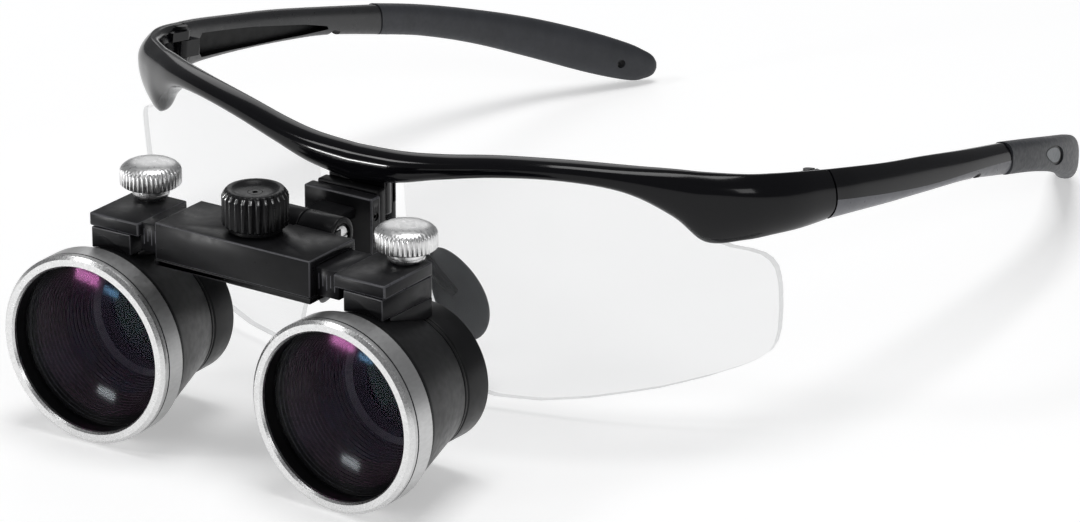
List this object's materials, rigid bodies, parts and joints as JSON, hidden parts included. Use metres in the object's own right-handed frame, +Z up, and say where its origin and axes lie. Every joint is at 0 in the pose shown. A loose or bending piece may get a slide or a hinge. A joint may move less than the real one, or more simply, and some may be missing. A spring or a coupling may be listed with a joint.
{
  "type": "dental loupes",
  "caption": "Flip-up dental loupes: two telescopes on an adjustable bridge, hinged to a wrap-around sports frame with a clear shield.",
  "frame": {"origin": "below the middle of the whole object, on the surface it stands on", "axes": "+X to the wearer's left, +Y from the telescopes back to the temple tips, +Z up"},
  "size_m": [0.148, 0.2145, 0.0492],
  "materials": {
    "frame_gloss": "polished black",
    "clear_lens": "clear shield",
    "satin_black": "satin black",
    "pad_rubber": "soft matte",
    "tip_rubber": "soft matte dark grey",
    "steel": "plain steel",
    "dark_steel": "blackened steel",
    "black_anodised": "satin black anodised",
    "knob_black": "satin black",
    "bar_black": "satin black anodised",
    "barrel_black": "satin black",
    "silver_ring": "satin silver",
    "polished_silver": "polished",
    "baffle_black": "dull black",
    "coated_glass": "coated lens"
  },
  "bodies": {
    "frame": {"front_frame": "frame_gloss", "shield_lens": "clear_lens", "nose_bridge": "satin_black", "nose_pad_left": "pad_rubber", "nose_pad_right": "pad_rubber", "mount_rail": "satin_black", "rail_screws": "steel", "temple_screw_left": "steel", "temple_screw_right": "steel"},
    "temple_left": {"temple_arm_left": "frame_gloss", "temple_tip_left": "tip_rubber"},
    "temple_right": {"temple_arm_right": "frame_gloss", "temple_tip_right": "tip_rubber"},
    "height_slider": {"mount_block": "black_anodised", "clamp_screw": "dark_steel", "hinge_pin": "steel"},
    "flip_bridge": {"bridge_housing": "black_anodised", "housing_cover": "black_anodised", "cover_screws": "steel"},
    "pd_drive": {"pd_knob": "knob_black", "knob_screw": "dark_steel", "pd_pinion": "steel"},
    "slide_left": {"rack_bar_left": "bar_black"},
    "slide_right": {"rack_bar_right": "bar_black"},
    "thumb_left": {"thumbscrew_left": "polished_silver"},
    "thumb_right": {"thumbscrew_right": "polished_silver"},
    "optic_left": {"swivel_block_left": "bar_black", "barrel_saddle_left": "bar_black", "barrel_left": "barrel_black", "front_ring_left": "silver_ring", "objective_left": "coated_glass", "light_baffle_left": "baffle_black", "eyepiece_cell_left": "barrel_black", "eyepiece_lens_left": "coated_glass"},
    "optic_right": {"swivel_block_right": "bar_black", "barrel_saddle_right": "bar_black", "barrel_right": "barrel_black", "front_ring_right": "silver_ring", "objective_right": "coated_glass", "light_baffle_right": "baffle_black", "eyepiece_cell_right": "barrel_black", "eyepiece_lens_right": "coated_glass"}
  },
  "joints": [
    {"name": "temple_fold_left", "type": "hinge", "parent": "frame", "child": "temple_left", "pos_m": [0.0683, -0.0246, 0.0404], "axis": [0, 0.1564, 0.9877], "range_deg": [0, 82]},
    {"name": "temple_fold_right", "type": "hinge", "parent": "frame", "child": "temple_right", "pos_m": [-0.0683, -0.0246, 0.0404], "axis": [0, -0.1564, -0.9877], "range_deg": [0, 70]},
    {"name": "height_slide", "type": "slide", "parent": "frame", "child": "height_slider", "axis": [0, 0, 1], "range_m": [-0.004, 0.0015]},
    {"name": "flip_tilt", "type": "hinge", "parent": "height_slider", "child": "flip_bridge", "pos_m": [0, -0.0822, 0.0381], "axis": [-1, 0, 0], "range_deg": [-20, 90]},
    {"name": "pd_turn", "type": "hinge", "parent": "flip_bridge", "child": "pd_drive", "pos_m": [0, -0.0917, 0.044], "axis": [0, 0, 1], "range_deg": [-95, 76]},
    {"name": "pd_slide_left", "type": "slide", "parent": "flip_bridge", "child": "slide_left", "axis": [1, 0, 0], "range_m": [-0.00397, 0.00497]},
    {"name": "pd_slide_right", "type": "slide", "parent": "flip_bridge", "child": "slide_right", "axis": [-1, 0, 0], "range_m": [-0.00402, 0.005]},
    {"name": "swivel_left", "type": "hinge", "parent": "slide_left", "child": "optic_left", "pos_m": [0.0269, -0.0858, 0.034], "axis": [0, 0, 1], "range_deg": [-3, 3]},
    {"name": "swivel_right", "type": "hinge", "parent": "slide_right", "child": "optic_right", "pos_m": [-0.0269, -0.0858, 0.034], "axis": [0, 0, -1], "range_deg": [-3, 3]},
    {"name": "thumb_turn_left", "type": "hinge", "parent": "slide_left", "child": "thumb_left", "pos_m": [0.0269, -0.0858, 0.042], "axis": [0, 0, 1], "range_deg": [-90, 90]},
    {"name": "thumb_turn_right", "type": "hinge", "parent": "slide_right", "child": "thumb_right", "pos_m": [-0.0269, -0.0858, 0.042], "axis": [0, 0, 1], "range_deg": [-90, 90]}
  ],
  "couplings": [
    {"joint": "pd_turn", "follows": "pd_slide_left", "rad_per_m": -333.33},
    {"joint": "pd_slide_right", "follows": "pd_slide_left", "ratio": 1}
  ]
}
